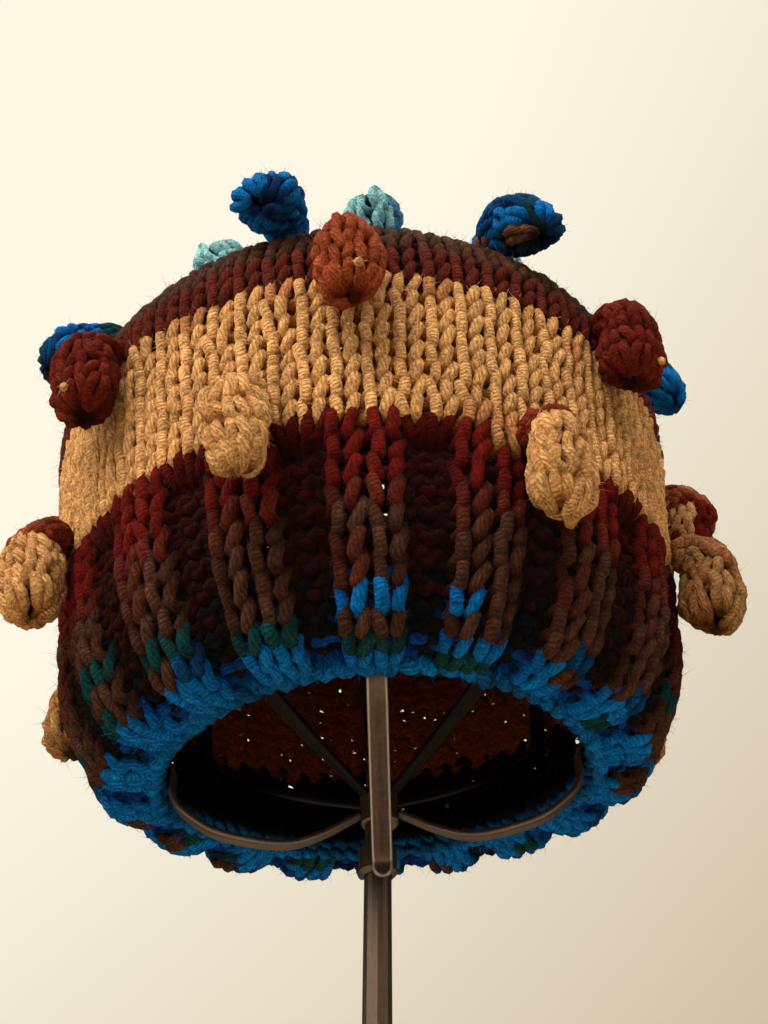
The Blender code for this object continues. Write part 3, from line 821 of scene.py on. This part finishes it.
def blue_dye(number, row, i):
    """Blue, with teal and brown stitches on some."""
    if number == 2 and hashed(row, i, 3) > 0.35:
        return (TEAL, DEEP_BLUE, 1.6 * GREY_BROWN)[int(hashed(i, row) * 3)]
    if number == 8 and hashed(row, i, 5) > 0.6:
        return TEAL
    return BLUE if hashed(row, i, number) > 0.2 else DEEP_BLUE


def aqua_dye(number, row, i):
    """Pale aqua, with a blue stretch on one side of the first one."""
    return 0.6 * BLUE + 0.4 * AQUA if number == 1 and i in (0, 1) and row > 1 else AQUA


BOBBLE_DYES = {"tan_bobble": tan_dye, "rust_bobble": rust_dye, "blue_bobble": blue_dye,
               "aqua_bobble": aqua_dye}
print("dyes_and_painted_light", ", ".join(BOBBLE_DYES))

# %% Knit the bobbles
SLIM_BOBBLES = {"tan_bobble_1": 0.82, "tan_bobble_2": 0.90, "rust_bobble_1": 0.92}
BOBBLE_PIECES = []
for ring, (name, run, turn, bend) in enumerate(BOBBLE_RINGS):
    knitted, nodes = [], []
    for number in range(1, BOBBLES_PER_RING + 1):
        node = f"{name}_{number}"
        rise, swing = BOBBLE_SHIFTS.get(node, (0.0, 0.0))
        at = (run + rise, turn + swing + (number - 1) * 360.0 / BOBBLES_PER_RING, bend)
        knitted += knit_bobble(*at, lambda row, i: BOBBLE_DYES[name](number, row, i),
                               20 * ring + number, SLIM_BOBBLES.get(node, 1.0))
        if name == "rust_bobble":
            knitted.append(tie_knot(*at, TAN))
        nodes.append(node)
    piece = spin_yarn(f"knitted_{name}s", *zip(*knitted), slot=name.replace("_bobble", "_yarn"),
                      sides=6)
    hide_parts(*nodes)
    BOBBLE_PIECES.append(piece)

# %% [markdown]
# ## Loose fibres
# Wool is never smooth: short fibres stand out of the yarn everywhere, and against a pale wall they
# soften the outline. One thin three-sided needle is made, and copies of it are stood on points of
# the yarn, leaning every way and coloured like the yarn under them, its painted shade included.

# %% One needle
FIBRE_RADIUS = 0.00007
build = bmesh.new()
bmesh.ops.create_cone(build, cap_ends=True, segments=3, radius1=FIBRE_RADIUS, radius2=0.0,
                      depth=1.0)
bmesh.ops.translate(build, verts=build.verts, vec=(0, 0, 0.5))
bmesh.ops.remove_doubles(build, verts=build.verts, dist=1e-7)
needle = np.array([v.co for v in build.verts])
needle_faces = np.array([[v.index for v in f.verts] for f in build.faces])
build.free()
print("needle", len(needle), "points", len(needle_faces), "faces")

# %% Stand the fibres on the yarn
FIBRES = 35000
# How much a fibre follows the yarn's face, how much it leans at random, and how deep its foot is
FIBRE_UP, FIBRE_STRAY, FIBRE_FOOT = 0.8, 0.75, 0.0002
# Shape and scale of the spread of lengths, and how much brighter a fibre is than the yarn
FIBRE_LENGTHS, FIBRE_BRIGHT = (4.0, 0.00060), 1.25


def stand_fibres(name, pieces, count, seed):
    """Copies of the needle on the outer side of the given pieces of yarn."""
    rng = np.random.default_rng(seed)
    yarn = []
    for piece in pieces:
        dye_and_painted_light = np.zeros(len(piece.data.vertices) * 4)
        piece.data.attributes["yarn_colour"].data.foreach_get("color", dye_and_painted_light)
        yarn.append((*read_vertices(piece.data), dye_and_painted_light.reshape(-1, 4)[:, :3]))
    places, normals, dyes_and_painted_light = map(np.concatenate, zip(*yarn))
    outer = np.flatnonzero(facing_out(places, normals, 0.45) > 0.25)
    chosen = rng.choice(outer, count, replace=False)
    lean_to = unit(FIBRE_UP * normals[chosen] + FIBRE_STRAY * rng.normal(size=(count, 3)))
    side = unit(np.cross(lean_to, rng.normal(size=(count, 3))))
    other = np.cross(lean_to, side)
    length = rng.gamma(*FIBRE_LENGTHS, count)[:, None]
    shape = (needle[None, :, 0:1] * side[:, None] + needle[None, :, 1:2] * other[:, None]
             + needle[None, :, 2:3] * (lean_to * length)[:, None])
    verts = (places[chosen] - FIBRE_FOOT * normals[chosen])[:, None] + shape
    faces = needle_faces[None] + (np.arange(count) * len(needle))[:, None, None]
    mesh = bpy.data.meshes.new(name)
    mesh.from_pydata(verts.reshape(-1, 3).tolist(), [], faces.reshape(-1, 3).tolist())
    paint(mesh, np.repeat(dyes_and_painted_light[chosen], len(needle), axis=0) * FIBRE_BRIGHT)
    finish_piece(name, mesh, LOOSE_WOOL)


stand_fibres("loose_fibres_hat", HAT_PIECES, FIBRES, 1)
stand_fibres("loose_fibres_bobbles", BOBBLE_PIECES, FIBRES // 3, 2)

# %% [markdown]
# ## The stand
# The plate, post, collar and hubs of the CAD model have the right shape, so they stay and get a
# better finish: dark bronze paint, worn lighter in fine streaks and specks. The bowed strips are
# drawn again on the same routes, because a flat bar rolled through a die has round edges and a
# shallow hollow down its outer face, and it bends without corners.

# %% Bronzed metal
def bronzed(name, colour, worn, roughness, streaks=(900.0, 900.0, 40.0), painted_edge_highlight=None):
    """Dark paint with streaks and specks. A piece that carries painted highlights on its edges
    shows them paler, where its round edges would catch the light.
    """
    material, tree, shader = new_material(name, Metallic=0.8)
    place = add_node(tree, "ShaderNodeTexCoord").outputs["Object"]
    stretched = add_node(tree, "ShaderNodeMapping", Vector=place, Scale=streaks).outputs[0]
    streak = noise(tree, stretched, 1.0, 4.0, 0.6)
    speck = noise(tree, place, 700.0, 3.0)
    wear = streak * 0.7 + speck * 0.3
    painted = mix_colours(tree, wear, opaque(colour), opaque(worn))
    if painted_edge_highlight is not None:
        edge = add_node(tree, "ShaderNodeAttribute", {"attribute_name": "painted_edge_highlight"})
        share = Sum(tree, edge.outputs["Fac"]) * (wear * 0.9 + 0.55)
        painted = mix_colours(tree, share, painted, opaque(painted_edge_highlight))
    bump = add_node(tree, "ShaderNodeBump", Strength=0.25, Distance=0.0002, Height=speck)
    fill(shader, Base__Color=painted, Roughness=wear * 0.3 + (roughness - 0.15),
         Normal=bump.outputs[0])
    return material


BRONZE = bronzed("bronzed_paint", (60, 48, 40), (118, 100, 88), 0.42)
# The strips' pale edges are painted highlights
STRIP_BRONZE = bronzed("rolled_bronze", (62, 48, 42), (112, 96, 88), 0.42, painted_edge_highlight=(176, 168, 162))
# A darker copy of the bronze, as painted shade on the strips deep in the hat
PAINTED_SHADE_BRONZE = bronzed("painted_shade_bronze", (14, 9, 7), (26, 18, 14), 0.6)
CAST = bronzed("bronzed_base", (52, 45, 41), (96, 88, 82), 0.5, streaks=(300.0, 300.0, 300.0))
print("metals", [metal.name for metal in (BRONZE, STRIP_BRONZE, PAINTED_SHADE_BRONZE, CAST)])

# %% [markdown]
# ## Bowed strips
# Each strip leaves the post or the lower hub, swings out to the hat and runs on inside its wall to
# the top hub. Its section is drawn once at the foot. Then its end face is extruded again and again,
# and each new end is moved to the next place along the route, as wire is drawn through a die.

# %% Routes of the strips
SEAT_GAP = 0.0003
POST_SEAT = 0.00545 + SEAT_GAP
STRIP_WIDTH, STRIP_THICKNESS, STRIP_ARCH = 0.0057, 0.0016, 0.0005
LOWER_SEAT, LOWER_HUB_HEIGHT, TOP_SEAT, TOP_HUB = 0.0058, 0.0110, 0.0118, 0.17916
# Where the front strip ends below the rim, and where it starts to bend
FRONT_FOOT, FRONT_BEND = 0.0289, 0.0248
# Inner face of the ribbing and of the crown below the outside, and a strip's own room from there
RIBBED_WALL, PLAIN_WALL, STRIP_ROOM = 0.0086, 0.0060, 0.0022
# Shares of the run at which strips come to the wall, and at which they leave it for the top hub
LOW_WALL_START, HIGH_WALL_START, CROWN_WALL_START, WALL_END = 0.2113, 0.2606, 0.3789, 0.9310
PAST_RIBBING = BRIM_SHARE + 0.02
# Points on the way out, as shares of the rim's radius, and past 1 of the way to the body's radius.
# The high strips' are shares of the body's radius and of the hat's height
FRONT_ROUTE = ((0.157, -0.382), (0.226, -0.342), (0.457, -0.203), (0.688, -0.068), (0.855, 0.031),
               (0.929, 0.149), (1.072, 0.299), (1.242, 0.481))
LOW_ROUTE = ((0.271, -0.225), (0.442, -0.266), (0.710, -0.208), (0.844, -0.125), (0.925, -0.045),
             (0.955, 0.040), (0.960, 0.150), (1.135, 0.310), (1.345, 0.497))
HIGH_ROUTE = ((0.220, 0.034), (0.385, 0.085), (0.589, 0.156), (0.745, 0.226))


def against_wall(share, angle):
    """Radius and height of a strip's middle line where it lies inside the hat's wall."""
    wall = RIBBED_WALL if share <= PAST_RIBBING else PLAIN_WALL
    return under_outside(share * RUN[-1], angle, wall + STRIP_ROOM)


def strip_route(kind, angle):
    """Radius and height along a strip, from the post to the top hub, as a smooth line."""
    oval, lift = out_of_round(0.0, angle)
    if kind == "high":
        line = [(LOWER_SEAT, -0.23 * LOWER_HUB_HEIGHT)]
        line += [(out * BODY_RADIUS, up * HAT_HEIGHT) for out, up in HIGH_ROUTE]
        shares = [HIGH_WALL_START, PAST_RIBBING]
    else:
        foot = POST_SEAT + STRIP_ARCH + STRIP_THICKNESS / 2
        line = ([(foot, -FRONT_FOOT), (foot, -FRONT_BEND)] if kind == "front"
                else [(LOWER_SEAT, -0.68 * LOWER_HUB_HEIGHT)])
        line += [(min(out, 1.0) * RIM_RADIUS * oval + max(out - 1.0, 0.0) * REACH,
                  up * RIM_RADIUS + lift * min(out, 1.0))
                 for out, up in (FRONT_ROUTE if kind == "front" else LOW_ROUTE)]
        shares = [LOW_WALL_START, (LOW_WALL_START + PAST_RIBBING) / 2, PAST_RIBBING]
    shares += np.linspace(CROWN_WALL_START, WALL_END, 8).tolist()
    return smooth_points(line + [against_wall(share, angle) for share in shares]
                         + [(TOP_SEAT, TOP_HUB)])


print("points along the front strip", len(strip_route("front", 0.0)))

# %% Places of the section along a strip
STRIP_NECK, NECK_RUN = 0.50, 0.0450
FOOT_STATIONS, STRIP_STATIONS = 8, 90


def strip_places(kind, turn):
    """Distances along a strip, and at each a matrix that sets the section's place and width."""
    angle = math.radians(turn)
    fine = strip_route(kind, angle)
    runs = distance_along(fine)
    first = np.linspace(0.0, 1.0, FOOT_STATIONS + 1)[:-1] ** 2 * STRIP_WIDTH
    at = np.concatenate((first, np.linspace(STRIP_WIDTH, runs[-1], STRIP_STATIONS)))
    route = along_line(at, runs, fine)
    ahead = unit(np.gradient(route, axis=0))
    half = np.full(len(at), STRIP_WIDTH / 2)
    if kind == "front":
        half *= np.sqrt(1 - np.clip(1 - at / (STRIP_WIDTH / 2), 0, 0.97) ** 2)
    else:
        half *= STRIP_NECK + (1 - STRIP_NECK) * np.minimum(at / NECK_RUN, 1.0)
    side = np.array((math.cos(angle), math.sin(angle), 0.0))
    outward = np.array((math.sin(angle), -math.cos(angle), 0.0))
    places = []
    for (radius, height), (run_in, run_up), width in zip(route, ahead, half):
        axes = np.array((side * width, outward * run_up - UP * run_in,
                         outward * run_in + UP * run_up))
        place = np.eye(4)
        place[:3, :3] = lean_direction(axes).T
        place[:3, 3] = lean(outward * radius + UP * height)
        places.append(Matrix(place.tolist()))
    return at, places


print("stations along a strip", len(strip_places("front", 0)[0]))

# %% Draw a strip
# Its section, with shares of half its width and of its thickness
STRIP_SECTION = ((-1.00, 0.00), (-0.97, 0.36), (-0.86, 0.50), (-0.68, 0.46), (-0.45, 0.22),
                 (0.00, 0.08), (0.45, 0.22), (0.68, 0.46), (0.86, 0.50), (0.97, 0.36),
                 (1.00, 0.00), (0.97, -0.36), (0.86, -0.50), (0.45, -0.50), (0.00, -0.50),
                 (-0.45, -0.50), (-0.86, -0.50), (-0.97, -0.36))
# How strong the painted edge highlight is on the low strips, against the front strip's
LOW_EDGE_HIGHLIGHT = 0.15


def paint_edge_highlights(verts, highlight_layer, place, kind, distance):
    """Mark both edges of the outer face, and the foot of the front strip too, for a painted
    highlight where their round edges catch the light.
    """
    on_foot = kind == "front" and distance < 0.5 * STRIP_WIDTH
    for vert in verts:
        x, y, _ = place.inverted() @ vert.co
        edge = abs(x) > 0.8 and (y > 0.3 * STRIP_THICKNESS or on_foot)
        tip = on_foot and distance < 0.1 * STRIP_WIDTH
        vert[highlight_layer] = (1.0 if kind == "front" else LOW_EDGE_HIGHLIGHT) * (edge or tip)


def draw_strip(build, kind, turn):
    """Draw the section at the foot and extrude it from place to place, as one closed bar. The
    extrusion leaves the old end face inside the bar, so all but the first one are taken out."""
    highlight_layer = build.verts.layers.float["painted_edge_highlight"]
    verts = [build.verts.new((x, y * STRIP_THICKNESS + STRIP_ARCH * (1 - x * x), 0))
             for x, y in STRIP_SECTION]
    start = end = build.faces.new(verts)
    before = Matrix()
    for distance, place in zip(*strip_places(kind, turn)):
        if distance > 0:
            made = bmesh.ops.extrude_face_region(build, geom=[end])["geom"]
            if end is not start:
                build.faces.remove(end)
            end = next(item for item in made if isinstance(item, bmesh.types.BMFace))
        bmesh.ops.transform(build, matrix=place @ before.inverted(), verts=list(end.verts))
        paint_edge_highlights(end.verts, highlight_layer, place, kind, distance)
        before = place


# %% Bend the strips
# The four high ones lie deep in the hat, in shade, so they get a darker copy of the bronze as
# painted shade
STRIPS = ([("front_strip", 0, "front")] + [(f"low_strip_{i}", 90 * i, "low") for i in (1, 2, 3)]
          + [(f"high_strip_{i}", 90 * i - 45, "high") for i in (1, 2, 3, 4)])
for name, kinds, material in (("rolled_strips", ("front", "low"), STRIP_BRONZE),
                              ("shaded_strips", ("high",), PAINTED_SHADE_BRONZE)):
    build = bmesh.new()
    build.verts.layers.float.new("painted_edge_highlight")
    for _, turn, kind in STRIPS:
        if kind in kinds:
            draw_strip(build, kind, turn)
    bmesh.ops.recalc_face_normals(build, faces=build.faces)
    strip_mesh = bpy.data.meshes.new(name)
    build.to_mesh(strip_mesh)
    build.free()
    strips = finish_piece(name, strip_mesh, material)
    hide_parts(*[node for node, _, kind in STRIPS if kind in kinds])

# %% Finish on the solids that stay
for name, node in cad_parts.items():
    if node.hide_render:
        continue
    material = CAST if name in ("base_plate", "post_socket") else BRONZE
    for place in node.material_slots:
        place.material = material
    print("finish", material.name, "on", name)

# %% [markdown]
# ## Floor and light
# A plain pale floor that fades into the wall behind it, and soft light from above. The light falls
# mostly from the top front, so the crown is bright and the ribbing, which looks down, is in shade.

# %% Floor
FLOOR_HALF_WIDTH, FADE_START, FADE_END = 2.0, 0.5, 1.5
floor_mesh = bpy.data.meshes.new("floor")
build = bmesh.new()
bmesh.ops.create_grid(build, x_segments=1, y_segments=1, size=FLOOR_HALF_WIDTH)
build.to_mesh(floor_mesh)
build.free()
floor = add_object("floor", floor_mesh)
material, tree, shader = new_material("pale_floor", Roughness=0.8,
                                      Base__Color=opaque((206, 194, 172)))
place = add_node(tree, "ShaderNodeTexCoord").outputs["Object"]
away = add_node(tree, "ShaderNodeVectorMath", {"operation": "LENGTH"}, _0=place).outputs["Value"]
fade_out = add_node(tree, "ShaderNodeMapRange", {"interpolation_type": "SMOOTHSTEP"}, Value=away,
                    _1=FADE_START, _2=FADE_END, _3=1.0, _4=0.0)
fill(shader, Alpha=fade_out.outputs[0])
floor_mesh.materials.append(material)
print("floor fades out at", FADE_END, "m")

# %% Wall
# What the camera sees is a pale wall, with painted shade darker towards the lower right. What
# lights the hat is a weak glow that grows upwards.
WALL_PALE, WALL_PAINTED_SHADE = (254, 248, 228), (206, 188, 162)
GLOW_BELOW, GLOW_ABOVE = 0.015, 0.20
bpy.context.scene.view_settings.view_transform = "Standard"
world = bpy.data.worlds.new("studio")
bpy.context.scene.world = world
world.use_nodes = True
tree = world.node_tree
seen = add_node(tree, "ShaderNodeLightPath").outputs["Is Camera Ray"]
way = add_node(tree, "ShaderNodeSeparateXYZ",
               Vector=add_node(tree, "ShaderNodeTexCoord").outputs["Generated"])
right, level = Sum(tree, way.outputs[0]), Sum(tree, way.outputs[2])
glow = add_node(tree, "ShaderNodeMapRange", Value=level, _1=-0.2, _2=0.9, _3=GLOW_BELOW,
                _4=GLOW_ABOVE)
dim = add_node(tree, "ShaderNodeMapRange", Value=right - level * 1.15, _1=-0.95, _2=0.1,
               _3=0.0, _4=1.0)
strength = add_node(tree, "ShaderNodeMix", {"data_type": "FLOAT"}, _0=seen, _2=glow.outputs[0],
                    _3=1.0)
fill(tree.nodes["Background"], Strength=strength.outputs[0],
     Color=mix_colours(tree, dim.outputs[0], opaque(WALL_PALE), opaque(WALL_PAINTED_SHADE)))
print("world nodes", len(tree.nodes))

# %% Lamps
LAMP_COLOUR = (255, 244, 226)
# Name, place, height it looks at, size and watts
LAMPS = (("top_front_lamp", (-0.50, -1.10, 1.25), 0.36, 0.9, 28),
         ("left_lamp", (-1.10, -0.45, 0.95), 0.36, 0.7, 9),
         ("right_lamp", (0.90, -0.75, 1.15), 0.36, 0.9, 10),
         ("top_lamp", (0.1, 0.3, 1.7), 0.40, 0.9, 11))
for name, place, height, size, watts in LAMPS:
    data = bpy.data.lights.new(name, "AREA")
    data.size = size
    data.energy = watts
    data.color = light(*LAMP_COLOUR)
    item = add_object(name, data)
    item.location = place
    towards = Vector((0, 0, height)) - Vector(place)
    item.rotation_euler = towards.to_track_quat("-Z", "Y").to_euler()
print("lamps", len(LAMPS))
